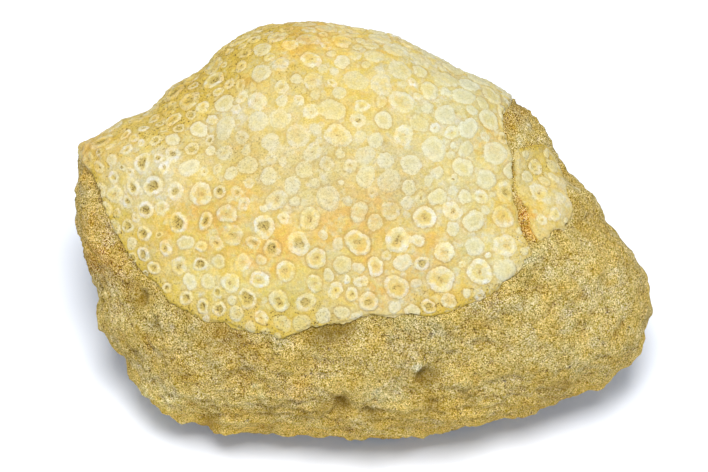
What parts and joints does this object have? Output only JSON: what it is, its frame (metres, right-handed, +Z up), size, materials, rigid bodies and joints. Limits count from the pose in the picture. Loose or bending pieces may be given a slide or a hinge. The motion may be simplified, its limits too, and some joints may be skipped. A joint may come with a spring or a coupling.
{
  "type": "fossil fish mouth plate",
  "caption": "Domed fossil pavement of small round crushing teeth, still bedded in a flat-based lump of sandy matrix.",
  "frame": {"origin": "on the resting plane, under the middle of the bounding box", "axes": "+X along the lump's length, towards the end with the parted strip; +Z up; the toothed face looks up and towards -Y"},
  "size_m": [0.0601, 0.0393, 0.0333],
  "materials": {
    "sandy_matrix": "matt, gritty, fine sand grains",
    "tooth_enamel": "satin fossil enamel, cream with ochre stains and brown pits"
  },
  "bodies": {
    "root": {"matrix": "sandy_matrix", "tooth_plate": "tooth_enamel", "parted_strip": "tooth_enamel"}
  },
  "joints": []
}
